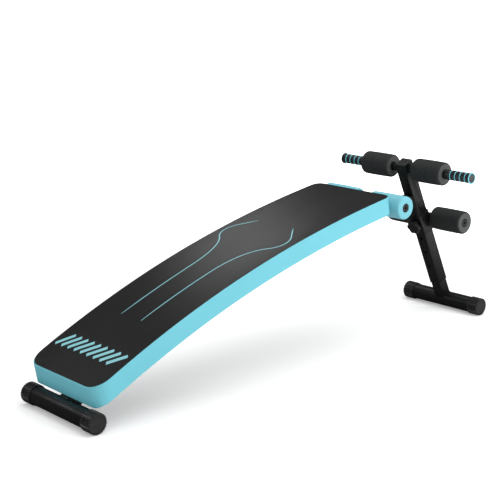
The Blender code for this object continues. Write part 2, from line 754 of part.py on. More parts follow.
def build_handle(leg, post):
    """Handle bar through the post, with ribbed grips, end caps and the rings let into them."""
    place = (0, 0, HANDLE_S)
    bar_half = HANDLE_HALF - END_CAP_LENGTH - GAP
    bar = pipe(BAR_R, BAR_R - ROUND_WALL, -bar_half, bar_half, round_ring(28))
    bar_piece = add_piece("handle_bar", bar, "powder_coat", leg, place, FACE_Y)
    grip_start = SHIN_OUTER + 0.006
    grip_end = bar_half
    bore = BAR_R + GAP
    ribs = 3
    rib_pitch = (grip_end - grip_start) / ribs
    profile = [(bore, grip_start)]
    for i in range(ribs):
        base = grip_start + i * rib_pitch
        profile += [(GRIP_R - 0.0008, base), (GRIP_R, base + rib_pitch * 0.15),
                    (GRIP_R, base + rib_pitch * 0.85)]
    profile += [(GRIP_R - 0.0008, grip_end), (bore, grip_end)]
    cap_low = bar_half + GAP
    ring_low = HANDLE_HALF - END_RING_THICK
    hub_r = END_RING_BORE - GAP
    for side, _, rotation in SIDES:
        add_piece(f"handle_grip_{side}", turned(profile, round_ring(18)), "black_rubber", leg,
                  place, rotation)
        end_cap = turned([(0, cap_low), (END_RING_R - 0.0006, cap_low),
                          (END_RING_R, cap_low + 0.0006), (END_RING_R, ring_low - GAP),
                          (hub_r, ring_low - GAP), (hub_r, HANDLE_HALF - 0.0006),
                          (0, HANDLE_HALF - 0.0006)], round_ring(28))
        add_piece(f"grip_end_cap_{side}", end_cap, "black_rubber", leg, place, rotation)
        end_ring = turned([(END_RING_BORE, ring_low), (END_RING_R, ring_low),
                           (END_RING_R, HANDLE_HALF - 0.0006), (END_RING_R - 0.0006, HANDLE_HALF),
                           (END_RING_BORE, HANDLE_HALF)], round_ring(28))
        add_piece(f"grip_end_ring_{side}", end_ring, "blue_foam", leg, place, rotation)

    wall = TUBE_SIZE / 2
    screw_r = 0.0025
    head_r = 0.0045
    tip = BAR_R - 0.0030
    screw_start = 0.005
    screw = turned([(0, tip), (screw_r, tip), (screw_r, wall + GAP), (head_r, wall + GAP),
                    (head_r, wall + 0.0022), (head_r - 0.0015, wall + 0.0030),
                    (0, wall + 0.0030)], round_ring(16))
    add_piece("handle_screw", screw, "zinc_steel", leg, place, FACE_X)
    for drilled in (bar_piece, post):
        cut(drilled, cylinder(screw_r + GAP, screw_start, NEAR_WALL[1], 16), place, FACE_X)


def build_bench():
    root = add_empty("bench_frame", (0, 0, 0))
    build_board(root)
    build_frame(root)
    knee_axis = add_empty("knee_axis", (REAR_X + KNEE_X, 0, KNEE_Z), parent=root)
    add_rollers("knee_roller", "blue_foam", KNEE_R, KNEE_INNER, KNEE_OUTER, knee_axis, (0, 0, 0))

    hinge = Vector((REAR_X + HINGE_X, 0, HINGE_Z))
    fold = add_empty("fold_axis", hinge, parent=root)
    build_hinge_bolt(fold)
    foot_axis = Vector((FRONT_X, 0, CAP_R))
    leg = add_empty("leg_axis", foot_axis - hinge, (0.0, -POST_TILT, 0.0), fold)
    build_sleeve(leg)
    build_pin(leg)
    build_post(leg)
    foot_bar_n = SLEEVE_SIZE / 2 + GAP + BAR_R
    add_rollers("foot_roller", "black_foam", FOAM_R, FOOT_INNER, FOOT_OUTER, leg,
                (foot_bar_n, 0, FOOT_ROLLER_S))
    add_rollers("shin_roller", "black_foam", FOAM_R, SHIN_INNER, SHIN_OUTER, leg,
                (0, 0, HANDLE_S))


for old in list(bpy.data.objects):
    bpy.data.objects.remove(old, do_unlink=True)
build_bench()
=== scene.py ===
"""Finished looks of the decline sit-up bench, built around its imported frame.

Metres, +Z up, +X towards the front leg, +Y to the left. Places and sizes come from
the frame's nodes and joints wherever a node has them.
"""
import json
import math

import bmesh
import bpy
import numpy as np
from mathutils import Matrix, Vector
from mathutils.bvhtree import BVHTree


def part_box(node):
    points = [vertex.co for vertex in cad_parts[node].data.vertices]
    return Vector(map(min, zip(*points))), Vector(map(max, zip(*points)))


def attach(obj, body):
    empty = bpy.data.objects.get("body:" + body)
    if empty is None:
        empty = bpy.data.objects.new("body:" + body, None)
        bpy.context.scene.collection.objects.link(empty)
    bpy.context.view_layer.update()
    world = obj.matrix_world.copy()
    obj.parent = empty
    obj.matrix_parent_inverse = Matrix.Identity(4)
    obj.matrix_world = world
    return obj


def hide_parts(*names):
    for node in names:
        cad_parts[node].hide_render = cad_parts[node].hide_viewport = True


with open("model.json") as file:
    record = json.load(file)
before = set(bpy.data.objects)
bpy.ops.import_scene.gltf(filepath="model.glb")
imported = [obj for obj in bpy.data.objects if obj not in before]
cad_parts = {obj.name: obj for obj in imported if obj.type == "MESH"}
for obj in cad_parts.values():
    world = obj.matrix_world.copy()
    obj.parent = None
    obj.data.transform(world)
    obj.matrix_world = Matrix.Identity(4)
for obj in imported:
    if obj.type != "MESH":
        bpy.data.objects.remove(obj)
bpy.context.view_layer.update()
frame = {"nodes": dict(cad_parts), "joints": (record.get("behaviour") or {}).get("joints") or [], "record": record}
scene = bpy.context.scene

BODY_OF = {node: body for body, nodes in frame["record"]["behaviour"]["bodies"].items()
           for node in nodes}
SLOT_OF = {part["node"]: part["material_slot"] for part in frame["record"]["subparts"]}
JOINTS = {joint["name"]: joint for joint in frame["joints"]}
SIDES = (("left", 1), ("right", -1))

# Board
LOW_CORNER_R = 0.037        # corners of the board seen from above, half way down its side
HIGH_CORNER_R = 0.026
CORNER_SPREAD = 0.0055      # the low corners are rounder by this at the top, tighter below
LOW_LEAN = math.radians(13)  # the low end stands steeper than square by this much
LOW_LEAN_RUN = 0.100        # distance from the low end over which the lean fades out
EDGE_R = 0.0018             # soft edge of the padding
LOW_EDGE = 1.9              # the top edge is softer at the low end by this factor
LOW_EDGE_RUN = 0.080
SEAM_ANGLE = 30             # degrees up the soft edge where the cover's seam runs
LOW_SEAM_RISE = 52          # degrees more at the low end
LOW_SEAM_RUN = 0.060
OUTSET = 0.0005             # the vinyl lies this far outside the frame's board
RETURN_FLAP = 0.022         # vinyl turned under the board
FLAP_THICK = 0.0012
FLAP_EDGE = 0.0010          # half the width of the step at the flap's edge
GRID_STEP = 0.0085          # spacing of the pad's grid away from its edges
DEPTH_STEP = 0.0070
SWELL_CAP = 0.0026          # the most that the padding rises in the cloth simulation
SEAM_DEPTH = 0.0004

# Prints, as distances from the low end and from the mid-line
INK_THICK = 0.00030
STRIPE_WIDTH = 0.0030
STRIPE = ((0.222, 0.0420), (0.322, 0.0420), (0.402, 0.0420), (0.462, 0.0430),
          (0.542, 0.0450), (0.587, 0.0700), (0.609, 0.0980),
          (0.627, 0.1240), (0.657, 0.1330), (0.687, 0.1120),
          (0.702, 0.0990), (0.717, 0.0850), (0.734, 0.0720))
BAR_COUNT = 9
BAR_RUNS = (0.074, 0.114)
BAR_SLANT = 0.018
BAR_WIDTH = 0.0110
BAR_SPREAD = 0.112          # the outermost bars lie this far from the mid-line

# Tubes
FOOT_R = (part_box("rear_foot_tube")[1].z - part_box("rear_foot_tube")[0].z) / 2
BAR_R = 0.0125
TUBE_WALL = 0.0020
FRAME_HALF = 0.0200         # half the width of the frame's square tube
POST_HALF = 0.0175
WELD_R = 0.0017
WELD_STEP = 0.0011
WELD_RIPPLE = 0.16

# Edges of the frame nodes that are kept in their own shape
BEVEL = 0.0004
FINE_BEVEL = 0.00012
FINE_NODES = ("pin_spring", "height_pin", "pin_barrel")

# Colours
PALE_BLUE = (0.156, 0.545, 0.642)
INK_BLUE = (0.270, 0.640, 0.700)
VINYL_GRAIN = 430           # pebbles of the vinyl; the ink over it shows the same ones
FLOOR_GLOW = 0.27

# Stage: name, place, aim, size and watts of each light
LIGHTS = (
    ("ceiling_softbox", (0.3, -0.4, 2.6), (0.0, 0.0, 0.0), (3.0, 2.4), 36),
    ("near_softbox", (1.1, -2.9, 0.9), (-0.1, 0.0, 0.30), (3.0, 1.8), 52),
    ("sheen_panel", (0.78, 1.62, 1.60), (-0.05, 0.0, 0.38), (0.7, 0.5), 2.5),
    ("rim_panel", (-0.9, 2.2, 2.3), (-0.2, 0.0, 0.25), (1.0, 0.6), 1.4),
    ("tube_panel", (-1.60, 1.62, 1.30), (-0.75, 0.0, 0.03), (0.4, 0.4), 2.6),
)
UNSEEN_IN_GLOSS = "near_softbox"
ROOM_LIGHT = 0.62           # strength of the white room on matt surfaces
ROOM_GLOSS = 0.09           # and in reflections
FLOOR_SIZE = 9.0
FLOOR_DROP = 0.0002
LENS_MM = 86.07
CAMERA_TURN = math.radians(-42.223)
CAMERA_TILT = math.radians(13.509)
CAMERA_TARGET = Vector((-0.1175, 0.0, 0.3302))
CAMERA_DISTANCE = 3.3277


# ---------------------------------------------------------------- materials

class Finish:
    """A material under construction: adds nodes and links or sets their inputs."""

    def __init__(self, name):
        self.material = bpy.data.materials.new(name)
        self.material.use_nodes = True
        self.nodes = self.material.node_tree.nodes
        self.links = self.material.node_tree.links
        self.shader = self.nodes["Principled BSDF"]
        self.place = self.nodes.new("ShaderNodeTexCoord").outputs["Object"]

    def feed(self, node, values):
        """Links each value that is a socket to the input of that name, sets the others."""
        for key, value in values.items():
            socket = node.inputs[key]
            if isinstance(value, bpy.types.NodeSocket):
                self.links.new(value, socket)
            else:
                socket.default_value = value

    def add(self, kind, values, **settings):
        node = self.nodes.new(kind)
        for key, value in settings.items():
            setattr(node, key, value)
        self.feed(node, values)
        return node

    def stretched(self, scale):
        """Object coordinates scaled along x, y and z."""
        return self.add("ShaderNodeMapping", {"Vector": self.place, "Scale": scale}).outputs[0]

    def noise(self, scale, detail=2.0, place=None):
        values = {"Vector": place or self.place, "Scale": scale, "Detail": detail}
        return self.add("ShaderNodeTexNoise", values).outputs["Fac"]

    def cells(self, scale, feature="F1"):
        values = {"Vector": self.place, "Scale": scale}
        return self.add("ShaderNodeTexVoronoi", values, feature=feature).outputs["Distance"]

    def remap(self, value, low, high, new_low, new_high):
        values = {"Value": value, "From Min": low, "From Max": high,
                  "To Min": new_low, "To Max": new_high}
        return self.add("ShaderNodeMapRange", values).outputs[0]

    def uneven(self, scale, detail, low, high):
        """A value that wanders between low and high over the surface."""
        return self.remap(self.noise(scale, detail), 0.3, 0.7, low, high)

    def maths(self, operation, first, second):
        return self.add("ShaderNodeMath", {0: first, 1: second}, operation=operation).outputs[0]

    def mixed(self, factor, dark, light):
        """Colour between dark and light; either may be another node's colour."""
        node = self.nodes.new("ShaderNodeMix")
        node.data_type = "RGBA"
        self.feed(node, {0: factor})
        for key, value in ((6, dark), (7, light)):
            if not isinstance(value, bpy.types.NodeSocket):
                value = (*value, 1)
            self.feed(node, {key: value})
        return node.outputs[2]

    def bump(self, height, distance, strength=1.0, below=None):
        values = {"Height": height, "Distance": distance, "Strength": strength}
        if below:
            values["Normal"] = below
        return self.add("ShaderNodeBump", values).outputs[0]

    def done(self, colour, roughness, normal, **extra):
        """Feeds the shader; extra names its other inputs with _ for each space."""
        values = {"Base Color": colour, "Roughness": roughness, "Normal": normal}
        values.update({key.replace("_", " "): value for key, value in extra.items()})
        self.feed(self.shader, values)
        return self.material


def shade(colour, factor):
    """A colour made lighter or darker."""
    return tuple(channel * factor for channel in colour)


def powder_coat():
    """Satin black powder coat with a fine orange peel and rubbed spots."""
    finish = Finish("powder_coat_finish")
    drift = finish.noise(14, 3)
    colour = finish.mixed(drift, (0.0040, 0.0040, 0.0042), (0.0070, 0.0070, 0.0072))
    roughness = finish.uneven(55, 4, 0.32, 0.44)
    peel = finish.bump(finish.noise(620, 2), 0.00025, 0.30)
    return finish.done(colour, roughness, peel, Specular_IOR_Level=0.45)


def moulded_rubber(name, dark, light):
    """Black rubber with a fine mould grain and uneven gloss."""
    finish = Finish(name)
    colour = finish.mixed(finish.noise(40, 4), dark, light)
    roughness = finish.uneven(160, 3, 0.25, 0.37)
    grain = finish.bump(finish.noise(1500, 2), 0.0002, 0.4)
    return finish.done(colour, roughness, grain, Specular_IOR_Level=0.75)


def closed_cell_foam(name, dark, light, roughness_low):
    """Matt foam: fine pores over a faint mottling, with a soft sheen."""
    finish = Finish(name)
    colour = finish.mixed(finish.noise(70, 5), dark, light)
    pores = finish.remap(finish.cells(900), 0.0, 0.55, 0.0, 1.0)
    skin = finish.bump(finish.noise(120, 4), 0.0006, 0.25)
    grain = finish.bump(pores, 0.0003, 0.5, skin)
    roughness = finish.uneven(300, 2, roughness_low, roughness_low + 0.15)
    return finish.done(colour, roughness, grain, Specular_IOR_Level=0.3)


def grained_vinyl(name, dark, light, roughness_low, specular):
    """Upholstery vinyl: pebbled leather grain, faint clouding and uneven gloss."""
    finish = Finish(name)
    warp = finish.noise(90, 3)
    colour = finish.mixed(finish.noise(9, 4), dark, light)
    pebbles = finish.remap(finish.cells(VINYL_GRAIN, "SMOOTH_F1"), 0.05, 0.65, 1.0, 0.0)
    creases = finish.noise(1300, 3)
    height = finish.maths("ADD", pebbles, finish.maths("MULTIPLY", creases, 0.5))
    soft = finish.bump(warp, 0.0010, 0.08)
    grain = finish.bump(height, 0.00035, 0.45, soft)
    gloss = finish.maths("ADD", finish.noise(220, 3), finish.maths("MULTIPLY", pebbles, 0.2))
    roughness = finish.remap(gloss, 0.3, 0.9, roughness_low, roughness_low + 0.10)
    return finish.done(colour, roughness, grain, Specular_IOR_Level=specular)


def printed_ink():
    """Screen-printed pale blue ink, slightly uneven over the grain below."""
    finish = Finish("printed_ink_finish")
    colour = finish.mixed(finish.noise(260, 4), shade(INK_BLUE, 0.90), shade(INK_BLUE, 1.05))
    grain = finish.bump(finish.cells(VINYL_GRAIN, "SMOOTH_F1"), 0.0002, 0.3)
    roughness = finish.uneven(90, 2, 0.42, 0.55)
    return finish.done(colour, roughness, grain)


def moulded_plastic():
    """Black injection-moulded plastic with a fine spark texture."""
    finish = Finish("black_plastic_finish")
    colour = finish.mixed(finish.noise(60, 3), (0.0070, 0.0070, 0.0075), (0.0125, 0.0125, 0.0130))
    spark = finish.bump(finish.noise(1900, 1), 0.00015, 0.4)
    roughness = finish.uneven(200, 2, 0.34, 0.46)
    return finish.done(colour, roughness, spark)


def smooth_blue_rubber():
    """Pale blue rubber of the grip rings."""
    finish = Finish("blue_rubber_finish")
    colour = finish.mixed(finish.noise(80, 3), shade(PALE_BLUE, 1.05), shade(PALE_BLUE, 1.30))
    grain = finish.bump(finish.noise(1200, 2), 0.0002, 0.3)
    roughness = finish.uneven(150, 2, 0.45, 0.6)
    return finish.done(colour, roughness, grain)


def zinc_plate():
    """Dull zinc with drawn scratches and a faint bloom."""
    finish = Finish("zinc_steel_finish")
    lines = finish.noise(80, 4, finish.stretched((1.0, 30.0, 4.0)))
    colour = finish.mixed(finish.noise(120, 3), (0.42, 0.43, 0.43), (0.58, 0.58, 0.56))
    roughness = finish.remap(lines, 0.3, 0.7, 0.24, 0.42)
    scratches = finish.bump(lines, 0.0001, 0.3)
    return finish.done(colour, roughness, scratches, Metallic=1.0)


def dust_cloth():
    """Black non-woven cloth under the board: pressed dots in a random fibre mat."""
    finish = Finish("dust_cloth_finish")
    fibres = finish.noise(700, 5, finish.stretched((1.0, 2.6, 1.0)))
    dots = finish.remap(finish.cells(420), 0.0, 0.35, 0.0, 1.0)
    colour = finish.mixed(fibres, (0.008, 0.008, 0.009), (0.026, 0.026, 0.028))
    mat = finish.bump(fibres, 0.0004, 0.5)
    pressed = finish.bump(dots, 0.0004, 0.6, mat)
    roughness = finish.remap(fibres, 0.2, 0.8, 0.75, 0.95)
    return finish.done(colour, roughness, pressed, Specular_IOR_Level=0.2)


def floor_paint():
    """White paper sweep that glows a little for the camera, more far off. In reflections it is dim under the bench
    (painted shade) and pale and glowing towards the near side (painted reflection in the bench's near faces).
    """
    finish = Finish("floor_finish")
    rays = finish.nodes.new("ShaderNodeLightPath").outputs
    sideways = finish.add("ShaderNodeSeparateXYZ", {0: finish.place}).outputs["Y"]
    near_y, bench_y = -0.9, -0.1
    # Seen only in reflections: pale towards the near side, dark under the bench; painted reflection and painted
    # shade.
    painted_reflection_tone = finish.mixed(finish.remap(sideways, near_y, bench_y, 0.0, 1.0),
                            (0.80,) * 3, (0.10,) * 3)
    colour = finish.mixed(rays["Is Glossy Ray"], (0.90, 0.90, 0.90), painted_reflection_tone)
    far = finish.add("ShaderNodeVectorMath", {0: finish.place}, operation="LENGTH").outputs["Value"]
    glow = finish.remap(far, 1.1, 2.6, FLOOR_GLOW, 1.3)
    # Glow in reflections only, towards the near side: a painted reflection that brightens the near faces of the
    # post, the caps and the foam ends.
    painted_reflection_glow = finish.maths("MULTIPLY", rays["Is Glossy Ray"],
                             finish.remap(sideways, near_y, bench_y, 0.60, 0.0))
    shown_glow = finish.maths("MULTIPLY", rays["Is Camera Ray"], glow)
    finish.feed(finish.shader, {"Emission Color": (1.0, 1.0, 1.0, 1.0),
                                "Emission Strength": finish.maths("ADD", shown_glow, painted_reflection_glow)})
    roughness = finish.remap(finish.noise(3, 3), 0.2, 0.8, 0.75, 0.85)
    return finish.done(colour, roughness, finish.bump(finish.noise(60, 3), 0.0003, 0.2),
                       Specular_IOR_Level=0.0)


FINISHES = {
    "powder_coat": powder_coat(),
    "black_rubber": moulded_rubber("black_rubber_finish", (0.0110, 0.0110, 0.0112),
                                   (0.0185, 0.0185, 0.0187)),
    "grip_rubber": moulded_rubber("grip_rubber_finish", (0.0035, 0.0035, 0.0036),
                                  (0.0075, 0.0075, 0.0076)),
    "black_foam": closed_cell_foam("black_foam_finish", (0.017, 0.0185, 0.019),
                                   (0.026, 0.028, 0.0285), 0.60),
    "cut_foam": closed_cell_foam("cut_foam_finish", (0.074, 0.076, 0.077),
                                 (0.100, 0.102, 0.103), 0.75),
    "blue_foam": closed_cell_foam("blue_foam_finish", (0.17, 0.49, 0.58),
                                  (0.21, 0.55, 0.64), 0.60),
    "blue_rubber": smooth_blue_rubber(),
    "blue_vinyl": grained_vinyl("blue_vinyl_finish", shade(PALE_BLUE, 0.94),
                                shade(PALE_BLUE, 1.03), 0.42, 0.45),
    "black_vinyl": grained_vinyl("black_vinyl_finish", (0.0070, 0.0070, 0.0073),
                                 (0.0105, 0.0105, 0.0108), 0.33, 0.5),
    "black_plastic": moulded_plastic(),
    "zinc_steel": zinc_plate(),
    "ink": printed_ink(),
    "dust_cloth": dust_cloth(),
}


# ---------------------------------------------------------------- mesh helpers

def new_piece(name, bm, slot, body, sharp=35.0):
    """Object from a bmesh in world coordinates, finished, riding on its body."""
    bmesh.ops.recalc_face_normals(bm, faces=bm.faces)
    mesh = bpy.data.meshes.new(name)
    bm.to_mesh(mesh)
    bm.free()
    mesh.shade_smooth()
    mesh.set_sharp_from_angle(angle=math.radians(sharp))
    mesh.materials.append(FINISHES[slot])
    piece = bpy.data.objects.new(name, mesh)
    scene.collection.objects.link(piece)
    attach(piece, body)
    return piece


def finish_node(node, bm, sharp=35.0):
    """The finished piece that stands for a frame node."""
    piece = new_piece(node + "_finish", bm, SLOT_OF[node], BODY_OF[node], sharp)
    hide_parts(node)
    return piece


def skin(bm, rings, closed_row):
    """Quads between closed rings of vertices; a ring of one vertex is a pole."""
    pairs = list(zip(rings, rings[1:]))
    if closed_row:
        pairs.append((rings[-1], rings[0]))
    for ring_a, ring_b in pairs:
        count = max(len(ring_a), len(ring_b))
        for i in range(count):
            j = (i + 1) % count
            corners = []
            for ring, k in ((ring_a, i), (ring_a, j), (ring_b, j), (ring_b, i)):
                vert = ring[k % len(ring)]
                if vert not in corners:
                    corners.append(vert)
            if len(corners) > 2:
                bm.faces.new(corners)


def lathe(profile, place, segments=96, radius_at=None):
    """Solid turned about its own +Z, moved by the matrix place.

    The profile is a closed (radius, height) loop; radius 0 is a pole. radius_at(radius,
    turn) gives the radius at an angle, for lobes and ridges.
    """
    bm = bmesh.new()
    rings = []
    for radius, height in profile:
        if radius == 0:
            rings.append([bm.verts.new(place @ Vector((0, 0, height)))])
            continue
        ring = []
        for i in range(segments):
            turn = 2 * math.pi * i / segments
            out = radius_at(radius, turn) if radius_at else radius
            ring.append(bm.verts.new(place @ Vector((out * math.cos(turn),
                                                     out * math.sin(turn), height))))
        rings.append(ring)
    pole_to_pole = len(rings[0]) == 1 and len(rings[-1]) == 1
    skin(bm, rings, closed_row=not pole_to_pole)
    return bm


def fillet(centre_r, centre_h, radius, start, end, steps=5):
    """Points of a rounded corner in (radius, height), angles in degrees."""
    points = []
    for i in range(steps + 1):
        angle = math.radians(start + (end - start) * i / steps)
        points.append((centre_r + radius * math.cos(angle), centre_h + radius * math.sin(angle)))
    return points


def across(node, sign):
    """Matrix for a part turned about the y axis through a node, +Z outward on side sign."""
    low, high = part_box(node)
    centre = (low + high) / 2
    turn = Matrix.Rotation(-sign * math.pi / 2, 4, "X")
    return Matrix.Translation((centre.x, 0, centre.z)) @ turn


def reach(node):
    """Nearest and farthest distance of a node from the mid-plane, and its radius."""
    low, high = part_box(node)
    near = min(abs(low.y), abs(high.y)) if low.y * high.y > 0 else 0.0
    return near, max(abs(low.y), abs(high.y)), (high.z - low.z) / 2


def swept(points, radius, closed, sides=10, ripple=0.0):
    """Round bead along points; ripple makes the scales of a weld."""
    bm = bmesh.new()
    count = len(points)
    tip_share = 0.35
    ripple_length = 3
    side = None
    rings = []
    for i, point in enumerate(points):
        before = points[i - 1] if closed or i else points[0]
        after = points[(i + 1) % count] if closed or i < count - 1 else points[-1]
        along = (Vector(after) - Vector(before)).normalized()
        if side is None:
            side = along.orthogonal().normalized()
        else:
            side = (side - along * side.dot(along)).normalized()
        other = along.cross(side)
        size = radius * (1 + ripple * math.sin(2 * math.pi * i / ripple_length))
        if not closed and i in (0, count - 1):
            size *= tip_share
        ring = []
        for k in range(sides):
            turn = 2 * math.pi * k / sides
            ring.append(bm.verts.new(Vector(point) + size * (math.cos(turn) * side
                                                             + math.sin(turn) * other)))
        rings.append(ring)
    skin(bm, rings, closed_row=closed)
    if not closed:
        bm.faces.new(rings[0])
        bm.faces.new(rings[-1])
    return bm


def merge(*meshes):
    """One bmesh with the faces of several."""
    whole = bmesh.new()
    for bm in meshes:
        mesh = bpy.data.meshes.new("merge")
        bm.to_mesh(mesh)
        bm.free()
        whole.from_mesh(mesh)
        bpy.data.meshes.remove(mesh)
    return whole


def square_outline(half, corner, steps=6):
    """Rounded square, counter-clockwise."""
    points = []
    to_corner = (half - corner) * math.sqrt(2)
    for quarter in range(4):
        middle = math.radians(45 + 90 * quarter)
        for step in range(steps + 1):
            angle = math.radians(90 * quarter + 90 * step / steps)
            points.append((to_corner * math.cos(middle) + corner * math.cos(angle),
                           to_corner * math.sin(middle) + corner * math.sin(angle)))
    return points


# ---------------------------------------------------------------- board

class Board:
    """The curved board's shape, read from the frame's side band."""

    def __init__(self):
        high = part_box("side_band")[1]
        points = np.array([v.co for v in frame["nodes"]["side_band"].data.vertices])
        middle = np.polyfit(points[:, 0], points[:, 2], 3)
        top = points[points[:, 2] > np.polyval(middle, points[:, 0])]
        self.curve = np.polyfit(top[:, 0], top[:, 2], 3)
        self.slope = np.polyder(self.curve)
        self.start = top[:, 0].min()
        self.length = top[:, 0].max() - self.start
        self.half = high.y
        end = Vector((self.start + self.length, np.polyval(self.curve, self.start + self.length)))
        corner = points[points[:, 0].argmax()]
        self.thick = (Vector((corner[0], corner[2])) - end).length

    def point(self, run, y, depth, square=False):
        """World point at a distance along the floor, to the left, and under the top face."""
        x = self.start + run
        fade = 0.0 if square else max(0.0, 1 - run / LOW_LEAN_RUN)
        lean = LOW_LEAN * fade**2
        angle = math.atan(np.polyval(self.slope, x)) - lean
        drop = depth / math.cos(lean)
        z = np.polyval(self.curve, x)
        return Vector((x + drop * math.sin(angle), y, z - drop * math.cos(angle)))


board = Board()


def spaced(length, near, regular):
    """Distances from 0 to length: the near ones at both ends, regular between."""
    count = max(2, round((length - 2 * near[-1]) / regular))
    middle = [near[-1] + (length - 2 * near[-1]) * i / count for i in range(1, count)]
    return near + middle + [length - d for d in reversed(near)]


def low_share(run, reach_run):
    """1 at the low end, easing to 0 at a distance along the floor."""
    t = min(1.0, max(0.0, run / reach_run))
    return 1 - t * t * (3 - 2 * t)


def seam_angle(run):
    """Where the cover's seam sits on the soft edge: on top at the low end, lower elsewhere."""
    return math.radians(SEAM_ANGLE + LOW_SEAM_RISE * low_share(run, LOW_SEAM_RUN))


def edge_point(angle):
    """Inset and depth of a point on the soft edge, from 0 on the side to 90 degrees on top."""
    return EDGE_R * (1 - math.cos(angle)), EDGE_R * (1 - math.sin(angle))


def round_corner(run, y, level):
    """Rounds the block's corners as seen from above; level runs from 0 on top to 1 below."""
    half = board.half + OUTSET
    low_corner_r = LOW_CORNER_R + CORNER_SPREAD * (1 - 2 * min(1.0, max(0.0, level)))
    for corner_r, from_end, sign in ((low_corner_r, run, 1),
                                     (HIGH_CORNER_R, board.length - run, -1)):
        u = corner_r - (from_end + OUTSET)
        v = abs(y) - (half - corner_r)
        if u > 0 and v > 0:
            scale = max(u, v) / math.hypot(u, v)
            run = run + sign * u * (1 - scale)
            y = math.copysign(half - corner_r + v * scale, y)
    return run, y


def pad_block():
    """Grid over the whole surface of the board, with the underside and seam rows to hold."""
    length = board.length + 2 * OUTSET
    width = 2 * (board.half + OUTSET)
    thick = board.thick + OUTSET
    soft_edge = [0.0, EDGE_R / 3, EDGE_R * 2 / 3, EDGE_R]
    near = soft_edge + [0.0055, 0.0130, RETURN_FLAP - FLAP_EDGE, RETURN_FLAP + FLAP_EDGE, 0.0290]
    runs = spaced(length, near, GRID_STEP)
    sides = spaced(width, near, GRID_STEP)
    depths = spaced(thick, soft_edge, DEPTH_STEP)
    last = (len(runs) - 1, len(sides) - 1, len(depths) - 1)
    quarter = math.pi / 4
    bm = bmesh.new()
    verts = {}

    def vert(i, j, k):
        if (i, j, k) in verts:
            return verts[i, j, k]
        from_end = min(runs[i], length - runs[i])
        from_side = min(sides[j], width - sides[j])
        from_face = min(depths[k], thick - depths[k])
        on_top = depths[k] < thick / 2
        seam = seam_angle(runs[i]) if on_top else quarter
        soft = 1 + (LOW_EDGE - 1) * low_share(runs[i], LOW_EDGE_RUN) if on_top else 1.0
        rim = soft * edge_point(seam)[0]
        if k in (0, last[2]):
            rise = min(from_end, from_side, EDGE_R) / EDGE_R
            depth = soft * edge_point(seam + (math.pi / 2 - seam) * rise)[1]
            share = 1.0
        elif from_face < EDGE_R:
            inset, depth = (soft * size for size in edge_point(seam * (1 - from_face / EDGE_R)))
            share = inset / rim
        else:
            depth = from_face
            share = 0.0
        if k == last[2] and min(from_end, from_side) > RETURN_FLAP:
            depth = FLAP_THICK

        def along(distance):
            """Follows the soft edge where the grid comes close to it."""
            rolled = distance
            if distance < EDGE_R:
                rolled = soft * edge_point(seam + (math.pi / 2 - seam) * distance / EDGE_R)[0]
            return distance + (rolled - distance) * share

        run = along(from_end) if runs[i] < length / 2 else length - along(from_end)
        y = along(from_side) - width / 2
        if sides[j] > width / 2:
            y = -y
        depth = depth if on_top else thick - depth
        run, y = round_corner(run - OUTSET, y, depth / thick)
        verts[i, j, k] = bm.verts.new(board.point(run, y, depth - OUTSET))
        return verts[i, j, k]

    def sheet(rows, columns, spot, part):
        """One face of the block; part gives the material of each of its quads."""
        for a in range(rows):
            for b in range(columns):
                corners = [spot(a, b), spot(a + 1, b), spot(a + 1, b + 1), spot(a, b + 1)]
                bm.faces.new(corners).material_index = part(a, b)

    def under(a, b):
        """Vinyl flap round the underside, dust cloth inside it."""
        edge = min(runs[a], length - runs[a + 1], sides[b], width - sides[b + 1])
        return 2 if edge > RETURN_FLAP - 2 * FLAP_EDGE else 1

    for k, part in ((0, lambda a, b: 0), (last[2], under)):
        sheet(last[0], last[1], lambda a, b, k=k: vert(a, b, k), part)
    for j in (0, last[1]):
        sheet(last[0], last[2], lambda a, b, j=j: vert(a, j, b), lambda a, b: 1)
    for i in (0, last[0]):
        sheet(last[1], last[2], lambda a, b, i=i: vert(i, a, b), lambda a, b: 1)
    bmesh.ops.recalc_face_normals(bm, faces=bm.faces)
    bm.verts.index_update()
    seam_verts = [verts[key].index for key in verts if key[2] == 0
                  and (key[0] in (0, last[0]) or key[1] in (0, last[1]))]
    under_verts = [verts[key].index for key in verts if key[2] >= last[2] - 3]
    return bm, under_verts, seam_verts


def swell(pad, held, cap):
    """Cloth simulation of the padding under pressure, scaled so that it rises by cap at most."""
    group = pad.vertex_groups.new(name="held")
    group.add(held, 1.0, "REPLACE")
    rest = np.array([v.co for v in pad.data.vertices])
    cloth = pad.modifiers.new("cloth", "CLOTH")
    cloth.settings.quality = 4
    cloth.settings.mass = 0.35
    cloth.settings.tension_stiffness = 30
    cloth.settings.compression_stiffness = 30
    cloth.settings.bending_stiffness = 4.0
    cloth.settings.use_pressure = True
    cloth.settings.uniform_pressure_force = 4.0
    cloth.settings.vertex_group_mass = "held"
    cloth.settings.effector_weights.gravity = 0.0
    last_frame = 14
    cloth.point_cache.frame_start = 1
    cloth.point_cache.frame_end = last_frame
    for step in range(1, last_frame + 1):
        scene.frame_set(step)
    shape = pad.evaluated_get(bpy.context.evaluated_depsgraph_get()).to_mesh()
    moved = np.array([v.co for v in shape.vertices]) - rest
    pad.modifiers.remove(cloth)
    scene.frame_set(1)
    size = np.linalg.norm(moved, axis=1, keepdims=True)
    kept = min(1.0, cap / size.max())
    pad.data.vertices.foreach_set("co", (rest + moved * kept).astype(np.float32).ravel())
    pad.data.update()


def press_seam(pad, seam, depth):
    """Sinks the sewn seam between the cover and the side band."""
    normals = [pad.data.vertices[i].normal.copy() for i in seam]
    for i, normal in zip(seam, normals):
        pad.data.vertices[i].co -= normal * depth
    pad.data.update()


